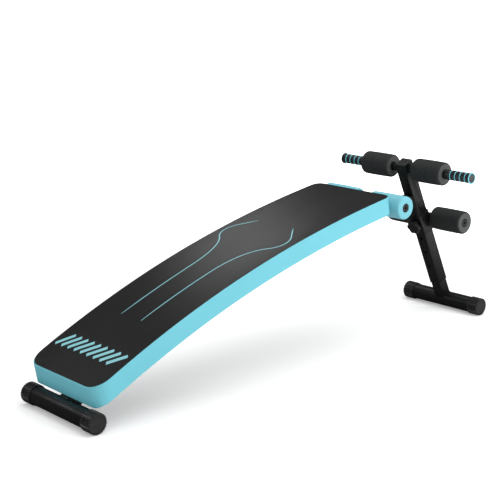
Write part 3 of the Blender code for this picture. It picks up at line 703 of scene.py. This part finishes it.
def build_pad():
    """The upholstered board: swollen padding, sunk seam and one subdivision."""
    bm, under, seam = pad_block()
    pad = new_piece("board_pad", bm, "black_vinyl", "bench_frame", sharp=180)
    pad.data.materials.append(FINISHES["blue_vinyl"])
    pad.data.materials.append(FINISHES["dust_cloth"])
    swell(pad, under + seam, SWELL_CAP)
    press_seam(pad, seam, SEAM_DEPTH)
    pad.vertex_groups.clear()
    smooth = pad.modifiers.new("smooth", "SUBSURF")
    smooth.levels = 1
    smooth.render_levels = 1
    finished = bpy.data.meshes.new_from_object(
        pad.evaluated_get(bpy.context.evaluated_depsgraph_get()))
    pad.modifiers.remove(smooth)
    pad.data = finished
    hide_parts("top_cover", "side_band", "pad_foam", "backing_board")
    return pad


def lay_on(surface, points, lift):
    """Points dropped onto the pad's top from above, lifted along its normal."""
    laid = []
    for point in points:
        spot, normal, _, _ = surface.ray_cast(point + Vector((0, 0, 0.05)), Vector((0, 0, -1)))
        laid.append(spot + normal * lift)
    return laid


def printed_strip(surface, centre_line, width_at):
    """Flat ink strip on the pad along (run, y) points; width_at takes the share of the way."""
    bm = bmesh.new()
    rows = []
    count = len(centre_line)
    for i, (run, y) in enumerate(centre_line):
        before = centre_line[max(i - 1, 0)]
        after = centre_line[min(i + 1, count - 1)]
        along = Vector((after[0] - before[0], after[1] - before[1])).normalized()
        half = width_at(i / (count - 1)) / 2
        marks = [board.point(run - along.y * k * half, y + along.x * k * half, 0)
                 for k in (-1, 0, 1)]
        top = lay_on(surface, marks, INK_THICK)
        base = lay_on(surface, marks, -INK_THICK)
        rows.append([bm.verts.new(p) for p in top + base[::-1]])
    skin(bm, rows, closed_row=False)
    bm.faces.new(rows[0])
    bm.faces.new(rows[-1])
    return bm


def bezier(points, count):
    """Points along a chain of cubic Bezier spans: knots with two handles between them."""
    line = []
    for k in range(0, len(points) - 1, 3):
        a, b, c, d = (Vector(p) for p in points[k:k + 4])
        for i in range(count):
            t = i / count
            line.append(tuple(a * (1 - t)**3 + b * 3 * t * (1 - t)**2
                              + c * 3 * t**2 * (1 - t) + d * t**3))
    line.append(tuple(points[-1]))
    return line


def build_prints(pad):
    """Two plain pinstripes that flare outward, and a row of slanted bars at the low end."""
    surface = BVHTree.FromObject(pad, bpy.context.evaluated_depsgraph_get())

    def stripe_width(share):
        """Even, with both ends drawn out to a point."""
        return STRIPE_WIDTH * min(1.0, 9 * (1 - share) + 0.25, 12 * share + 0.4)

    for side, sign in SIDES:
        line = bezier([(run, sign * y) for run, y in STRIPE], 24)
        strip = printed_strip(surface, line, stripe_width)
        new_piece(f"pinstripe_{side}", strip, "ink", "bench_frame")
    bars = []
    steps = 8
    for i in range(BAR_COUNT):
        y = BAR_SPREAD * (1 - 2 * i / (BAR_COUNT - 1))
        start = Vector((BAR_RUNS[0], y + BAR_SLANT))
        end = Vector((BAR_RUNS[1], y - BAR_SLANT))
        line = [tuple(start.lerp(end, k / steps)) for k in range(steps + 1)]
        bars.append(printed_strip(surface, line, lambda share: BAR_WIDTH))
    new_piece("slanted_bars", merge(*bars), "ink", "bench_frame")


def build_staples():
    """Staples that hold the turned-under vinyl to the board."""
    wire = 0.0006
    half_width = 0.0050
    inset = 0.015
    pitch = 0.038
    staples = []
    spots = []
    run_count = int((board.length - 2 * LOW_CORNER_R) / pitch)
    for i in range(run_count + 1):
        run = LOW_CORNER_R + (board.length - 2 * LOW_CORNER_R) * i / run_count
        spots += [(run, sign * (board.half - inset), 1, 0) for sign in (1, -1)]
    side_count = int((2 * board.half - 2 * LOW_CORNER_R) / pitch)
    for i in range(side_count + 1):
        y = (board.half - LOW_CORNER_R) * (1 - 2 * i / side_count)
        spots += [(run, y, 0, 1) for run in (inset, board.length - inset)]
    for run, y, along_run, along_y in spots:
        ends = [board.point(run + k * half_width * along_run, y + k * half_width * along_y,
                            board.thick + wire * 0.5) for k in (-1, -0.4, 0.4, 1)]
        staples.append(swept(ends, wire, closed=False, sides=6))
    new_piece("flap_staples", merge(*staples), "zinc_steel", "bench_frame")


# ---------------------------------------------------------------- round parts

def build_tube(node):
    """Round tube along y, with softened ends."""
    _, far, radius = reach(node)
    inner = radius - TUBE_WALL
    soft = 0.0005
    profile = fillet(radius - soft, -far + soft, soft, -90, 0, 3)
    profile += fillet(radius - soft, far - soft, soft, 0, 90, 3)
    profile += fillet(inner + soft, far - soft, soft, 90, 180, 3)
    profile += fillet(inner + soft, -far + soft, soft, 180, 270, 3)
    finish_node(node, lathe(profile, across(node, 1)))


def build_cap(node, sign):
    """Ridged rubber foot cap, with a rounded rim and a shallow dish in its face."""
    near, far, radius = reach(node)
    ridges = 32
    groove = 0.0020
    rim = 0.0016
    bore = FOOT_R + 0.0003
    floor = 0.005

    def ridged(at, turn):
        if at < radius - rim - 0.0001:
            return at
        wave = math.cos(ridges * turn)
        flat = max(-1.0, min(1.0, wave * 2.2))
        return at - groove * (1 - flat) / 2

    profile = [(bore, near), (radius - 0.0010, near)]
    profile += [(radius, near + 0.0008), (radius, near + 0.0015)]
    profile += [(radius, near + (far - rim - near) * k / 4) for k in (1, 2, 3)]
    profile += fillet(radius - rim, far - rim, rim, 0, 90, 6)
    profile += [(radius - 0.0035, far), (radius - 0.0042, far - 0.0007), (0.010, far - 0.0007),
                (0.006, far - 0.0008), (0, far - 0.0008), (0, far - floor), (bore, far - floor)]
    cap = lathe(profile, across(node, sign), segments=ridges * 8, radius_at=ridged)
    finish_node(node, cap, sharp=50)


def build_roller(node, sign):
    """Foam roller: soft shoulders, a barely crowned side and a bore that grips the tube."""
    near, far, radius = reach(node)
    soft = 0.0060
    bore = BAR_R + 0.0004
    crown = 0.0007
    dish = 0.0008
    side_steps = 14
    profile = [(bore, near + 0.0030), (bore + 0.0010, near + 0.0006), (bore + 0.0040, near + dish)]
    profile += fillet(radius - crown - soft, near + soft, soft, -90, 0, 9)
    for k in range(1, side_steps):
        share = k / side_steps
        height = near + soft + (far - near - 2 * soft) * share
        profile.append((radius - crown * (2 * share - 1)**2, height))
    profile += fillet(radius - crown - soft, far - soft, soft, 0, 90, 9)
    profile += [(bore + 0.0040, far - dish), (bore + 0.0010, far - 0.0006), (bore, far - 0.0030)]

    def settled(at, turn):
        """Foam is never quite round: a slow wave of a few tenths of a millimetre."""
        return at + (at / radius)**2 * 0.00022 * math.sin(3 * turn + 1.1)

    roller = lathe(profile, across(node, sign), segments=112, radius_at=settled)
    piece = finish_node(node, roller, sharp=60)
    if SLOT_OF[node] == "black_foam":
        piece.data.materials.append(FINISHES["cut_foam"])
        for face in piece.data.polygons:
            face.material_index = int(abs(face.normal.y) > 0.98)


def build_plug(node, sign):
    """Plastic plug in a tube end: domed rim round a blind socket."""
    near, far, radius = reach(node)
    soft = 0.0012
    profile = [(0, near), (radius - 0.0004, near), (radius, near + 0.0004)]
    profile += fillet(radius - soft, far - soft, soft, 0, 90, 5)
    profile += [(0.0052, far), (0.0046, far - 0.0008), (0.0043, far - 0.0045), (0, far - 0.0045)]
    finish_node(node, lathe(profile, across(node, sign), 64))


def build_grip(side, sign):
    """Ribbed handle grip with four thin blue rings and a hollow blue end ring."""
    node = f"handle_grip_{side}"
    near, far, radius = reach(node)
    bore = BAR_R + 0.0003
    place = across(node, sign)
    first, pitch, ring_count = 0.185, 0.0183, 4
    rings_at = [first + pitch * i for i in range(ring_count)]
    ring_half = 0.0012
    crest = radius - 0.0002
    valley = radius - 0.0011
    profile = [(bore, near), (crest - 0.0008, near), (crest, near + 0.0010)]
    profile += [(crest, first - 0.0065), (valley, first - 0.0050)]
    for centre in rings_at:
        start = centre + ring_half + 0.0008
        profile += [(valley, centre - ring_half - 0.0010), (valley - 0.0004, centre - ring_half),
                    (valley - 0.0004, centre + ring_half), (valley, start)]
        rib_span = pitch - 2 * ring_half - 0.0016
        ribs = 3
        for k in range(ribs):
            low = start + rib_span * (k + 0.12) / ribs
            high = start + rib_span * (k + 0.88) / ribs
            if high > far - 0.0015:
                break
            profile += [(valley, low), (crest, low + 0.0008), (crest, high - 0.0008),
                        (valley, high)]
    profile += [(valley, far - 0.0003), (valley - 0.0003, far), (bore, far)]
    grip = finish_node(node, lathe(profile, place, 72), sharp=30)
    grip.data.materials[0] = FINISHES["grip_rubber"]
    bands = []
    for centre in rings_at:
        band = fillet(radius - 0.0010, centre, ring_half, -90, 90, 6)
        band += [(valley - 0.0008, centre + ring_half), (valley - 0.0008, centre - ring_half)]
        bands.append(lathe(band, place, 72))
    new_piece(f"grip_rings_{side}", merge(*bands), "blue_rubber", BODY_OF[node])

    cap_node = f"grip_end_cap_{side}"
    ring_node = f"grip_end_ring_{side}"
    cap_near, _, _ = reach(cap_node)
    ring_near, ring_far, ring_r = reach(ring_node)
    ring_bore = 0.0140
    hub = ring_bore - 0.0002
    soft = 0.0006
    cap = [(0, cap_near), (ring_r - soft, cap_near)]
    cap += fillet(ring_r - soft, cap_near + soft, soft, -90, 0, 3)[1:]
    cap += [(ring_r, ring_near - 0.0002), (hub, ring_near - 0.0002), (hub, ring_far - 0.0010),
            (hub - 0.0006, ring_far - 0.0007), (0.0080, ring_far - 0.0014),
            (0.0040, ring_far - 0.0017), (0, ring_far - 0.0018)]
    finish_node(cap_node, lathe(cap, place, 72))
    band = [(ring_bore, ring_near), (ring_r, ring_near)]
    band += fillet(ring_r - soft, ring_far - soft, soft, 0, 90, 3)
    band += fillet(ring_bore + soft, ring_far - soft, soft, 90, 180, 3)
    finish_node(ring_node, lathe(band, place, 72))


def build_knob():
    """Six-lobed pull knob with a rounded rim and a capped screw recess."""
    joint = JOINTS["knob_turn"]
    out = Vector(joint["axis"]).normalized()
    place = Matrix.Translation(joint["pos_m"]) @ out.to_track_quat("Z", "Y").to_matrix().to_4x4()
    verts = [v.co - Vector(joint["pos_m"]) for v in frame["nodes"]["height_knob"].data.vertices]
    heights = [v.dot(out) for v in verts]
    lobe_out, notch_in = 0.07, 0.17
    radius = max((v - out * v.dot(out)).length for v in verts) / (1 + lobe_out)
    back, front = min(heights), max(heights)
    hollow = 0.0125
    soft = 0.0030
    lobes = 6

    def lobed(at, turn):
        share = max(0.0, (at - hollow) / (radius - hollow))
        notch = (0.5 - 0.5 * math.cos(lobes * turn))**1.6
        return at * (1 + share * (lobe_out - notch_in * notch))

    stem_bore = 0.0033
    profile = [(0, front - 0.0012), (stem_bore, front - 0.0012), (stem_bore, front - 0.0027),
               (hollow, front - 0.0027), (hollow, back), (radius - 0.0015, back),
               (radius, back + 0.0015)]
    profile += fillet(radius - soft, front - soft, soft, 0, 90, 7)
    profile += [(0.0105, front), (0.0098, front - 0.0007), (0.0062, front - 0.0007),
                (0.0055, front - 0.0002), (0.0036, front - 0.0002), (0.0030, front - 0.0006),
                (0, front - 0.0006)]
    finish_node("height_knob", lathe(profile, place, 144, lobed), sharp=40)


# ---------------------------------------------------------------- square tubes and welds

def leg_axes():
    """Front foot axis point, direction up the post, and forward square to it."""
    low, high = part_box("front_foot_tube")
    up = Vector(JOINTS["height_slide"]["axis"]).normalized()
    return (low + high) / 2, up, Vector((up.z, 0, -up.x))


def frame_line():
    """Centre line of the frame tube, smoothly through the frame's own stations."""
    gap = 0.0003
    depth = board.thick + gap + FRAME_HALF
    rear = (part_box("rear_foot_tube")[0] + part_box("rear_foot_tube")[1]) / 2
    hinge = Vector(JOINTS["leg_fold"]["pos_m"])
    first, last = 0.020, 1.000      # stretch of the board that the tube follows
    level_length = 0.100            # level stretch before the hinge
    line = [rear]
    start = board.point(first, 0, depth, square=True)
    line += [rear.lerp(start, k / 4) for k in (1, 2, 3)]
    steps = 60
    line += [board.point(first + (last - first) * k / steps, 0, depth, square=True)
             for k in range(steps + 1)]
    a = line[-1]
    run = hinge.x - level_length - a.x
    rise = np.polyval(board.slope, board.start + last) * run
    blend_steps = 14
    for k in range(1, blend_steps + 1):
        t = k / blend_steps
        z = (a.z * (2 * t**3 - 3 * t**2 + 1) + rise * (t**3 - 2 * t**2 + t)
             + hinge.z * (3 * t**2 - 2 * t**3))
        line.append(Vector((a.x + run * t, 0, z)))
    line.append(Vector((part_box("main_frame_tube")[1].x, 0, hinge.z)))
    return line


def build_frame_tube():
    """The curved square tube, outer skin and bore; returns its centre line."""
    line = frame_line()
    bm = bmesh.new()
    rings = []
    for half, corner, order in ((FRAME_HALF, 0.0028, 1), (FRAME_HALF - TUBE_WALL, 0.0010, -1)):
        outline = square_outline(half, corner)
        stations = []
        for i, point in enumerate(line):
            before = line[max(i - 1, 0)]
            after = line[min(i + 1, len(line) - 1)]
            along = (after - before).normalized()
            up = Vector((-along.z, 0, along.x))
            stations.append([bm.verts.new(point + up * v + Vector((0, u, 0)))
                             for u, v in outline])
        rings += stations[::order]
    skin(bm, rings, closed_row=True)
    finish_node("main_frame_tube", bm, sharp=40)
    return line


def saddle_weld(name, centre, along, side, half, body):
    """Weld round a square tube where it meets a round tube lying along y."""
    points = []
    radius = FOOT_R + 0.0002
    outline = square_outline(half + 0.0004, 0.0034, 8)
    dense = []
    for (u0, v0), (u1, v1) in zip(outline, outline[1:] + outline[:1]):
        pieces = max(1, round(math.hypot(u1 - u0, v1 - v0) / WELD_STEP))
        dense += [(u0 + (u1 - u0) * k / pieces, v0 + (v1 - v0) * k / pieces)
                  for k in range(pieces)]
    for u, v in dense:
        height = math.sqrt(max(radius**2 - u**2, 0))
        points.append(centre + side * u + Vector((0, v, 0)) + along * height)
    bead = swept(points, WELD_R, closed=True, ripple=WELD_RIPPLE)
    new_piece(name, bead, "powder_coat", body, sharp=80)


def straight_welds(name, spans, body, radius=WELD_R):
    """Weld beads along straight spans, as one piece."""
    beads = []
    for start, end in spans:
        count = max(4, round((end - start).length / WELD_STEP))
        points = [start.lerp(end, k / count) for k in range(count + 1)]
        beads.append(swept(points, radius, closed=False, ripple=WELD_RIPPLE))
    new_piece(name, merge(*beads), "powder_coat", body, sharp=80)


def sideways_span(spot, half):
    """Both ends of a span along y through a point."""
    return spot + Vector((0, -half, 0)), spot + Vector((0, half, 0))


def build_welds(line):
    """Beads at the two feet, the two roller bars and the hinge bracket."""
    rear = line[0]
    along = (line[1] - line[0]).normalized()
    saddle_weld("rear_foot_weld", rear, along, Vector((-along.z, 0, along.x)), FRAME_HALF,
                "bench_frame")
    foot, up, forward = leg_axes()
    saddle_weld("front_foot_weld", foot, up, forward, POST_HALF, "post")

    low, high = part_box("foot_roller_tube")
    touch = (low + high) / 2 - forward * (BAR_R - 0.0006)
    straight_welds("roller_bar_weld",
                   [sideways_span(touch + up * sign * 0.0052, 0.0195) for sign in (1, -1)],
                   "leg_sleeve")

    low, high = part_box("knee_roller_tube")
    bar = (low + high) / 2
    top = min(line, key=lambda p: abs(p.x - bar.x)).z + FRAME_HALF + 0.0002
    straight_welds("knee_bar_weld",
                   [sideways_span(Vector((bar.x + sign * (BAR_R + 0.0004), 0, top)), 0.0185)
                    for sign in (1, -1)],
                   "bench_frame", radius=0.0022)

    low_up, high_up = 0.335, 0.409      # ends of the bracket's welds, up the post from the foot
    edges = [foot - forward * 0.0252 + Vector((0, sign * 0.0204, 0)) for _, sign in SIDES]
    straight_welds("bracket_weld", [(edge + up * low_up, edge + up * high_up) for edge in edges],
                   "leg_sleeve")


# ---------------------------------------------------------------- remaining frame nodes

def refine(node, width):
    """A frame node with its edges softened; its shape and size stay as packed."""
    bm = bmesh.new()
    bm.from_mesh(frame["nodes"][node].data)
    bmesh.ops.remove_doubles(bm, verts=bm.verts, dist=0.00001)
    flat_within = math.radians(0.6)
    bmesh.ops.dissolve_limit(bm, angle_limit=flat_within, verts=bm.verts, edges=bm.edges)
    piece = new_piece(node + "_finish", bm, SLOT_OF[node], BODY_OF[node])
    soften = piece.modifiers.new("soften", "BEVEL")
    soften.width = width
    soften.segments = 2
    soften.limit_method = "ANGLE"
    soften.angle_limit = math.radians(32)
    softened = bpy.data.meshes.new_from_object(
        piece.evaluated_get(bpy.context.evaluated_depsgraph_get()))
    piece.modifiers.remove(soften)
    piece.data = softened
    softened.shade_smooth()
    softened.set_sharp_from_angle(angle=math.radians(38))
    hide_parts(node)


def build_bench():
    """Every piece of the bench; a frame node that no piece replaces yet is refined."""
    pad = build_pad()
    build_prints(pad)
    build_staples()
    for side, sign in SIDES:
        for end in ("rear", "front"):
            build_cap(f"{end}_foot_cap_{side}", sign)
        for kind in ("knee", "foot", "shin"):
            build_roller(f"{kind}_roller_{side}", sign)
        for kind in ("knee", "foot"):
            build_plug(f"{kind}_roller_plug_{side}", sign)
        build_grip(side, sign)
    for node in ("rear_foot_tube", "front_foot_tube", "knee_roller_tube", "foot_roller_tube",
                 "handle_bar"):
        build_tube(node)
    build_knob()
    build_welds(build_frame_tube())
    for node, cad in frame["nodes"].items():
        if not cad.hide_render:
            refine(node, FINE_BEVEL if node in FINE_NODES else BEVEL)


# ---------------------------------------------------------------- stage

def add_floor():
    """A white sheet just under the foot caps."""
    bm = bmesh.new()
    bmesh.ops.create_grid(bm, x_segments=1, y_segments=1, size=FLOOR_SIZE)
    mesh = bpy.data.meshes.new("floor")
    bm.to_mesh(mesh)
    bm.free()
    mesh.materials.append(floor_paint())
    floor = bpy.data.objects.new("floor", mesh)
    floor.location.z = -FLOOR_DROP
    scene.collection.objects.link(floor)


def add_area(name, place, aim, size, power):
    """White rectangular light at a place, turned to a point."""
    data = bpy.data.lights.new(name, "AREA")
    data.shape = "RECTANGLE"
    data.size, data.size_y = size
    data.energy = power
    light = bpy.data.objects.new(name, data)
    light.location = place
    light.rotation_euler = (Vector(aim) - Vector(place)).to_track_quat("-Z", "Y").to_euler()
    light.visible_glossy = name != UNSEEN_IN_GLOSS
    scene.collection.objects.link(light)


def light_stage():
    """White behind the bench, a dim room in its reflections, and five soft boxes."""
    world = bpy.data.worlds.new("studio")
    world.use_nodes = True
    nodes = world.node_tree.nodes
    links = world.node_tree.links
    background = nodes["Background"]
    background.inputs["Color"].default_value = (1.0, 1.0, 1.0, 1.0)
    rays = nodes.new("ShaderNodeLightPath")
    dim = nodes.new("ShaderNodeMix")
    dim.inputs["A"].default_value = ROOM_LIGHT
    dim.inputs["B"].default_value = ROOM_GLOSS
    links.new(rays.outputs["Is Glossy Ray"], dim.inputs["Factor"])
    level = nodes.new("ShaderNodeMix")
    level.inputs["B"].default_value = 1.0
    links.new(rays.outputs["Is Camera Ray"], level.inputs["Factor"])
    links.new(dim.outputs["Result"], level.inputs["A"])
    links.new(level.outputs["Result"], background.inputs["Strength"])
    scene.world = world
    for light in LIGHTS:
        add_area(*light)


def add_camera():
    """Three-quarter view from the low end's right side, slightly above."""
    data = bpy.data.cameras.new("camera")
    data.lens = LENS_MM
    data.sensor_width = 36.0
    data.clip_end = 60.0
    camera = bpy.data.objects.new("camera", data)
    back = Vector((math.sin(CAMERA_TURN) * math.cos(CAMERA_TILT),
                   -math.cos(CAMERA_TURN) * math.cos(CAMERA_TILT), math.sin(CAMERA_TILT)))
    camera.location = CAMERA_TARGET + back * CAMERA_DISTANCE
    camera.rotation_euler = (math.pi / 2 - CAMERA_TILT, 0.0, CAMERA_TURN)
    scene.collection.objects.link(camera)
    scene.camera = camera


build_bench()
add_floor()
light_stage()
add_camera()
scene.view_settings.view_transform = "Standard"
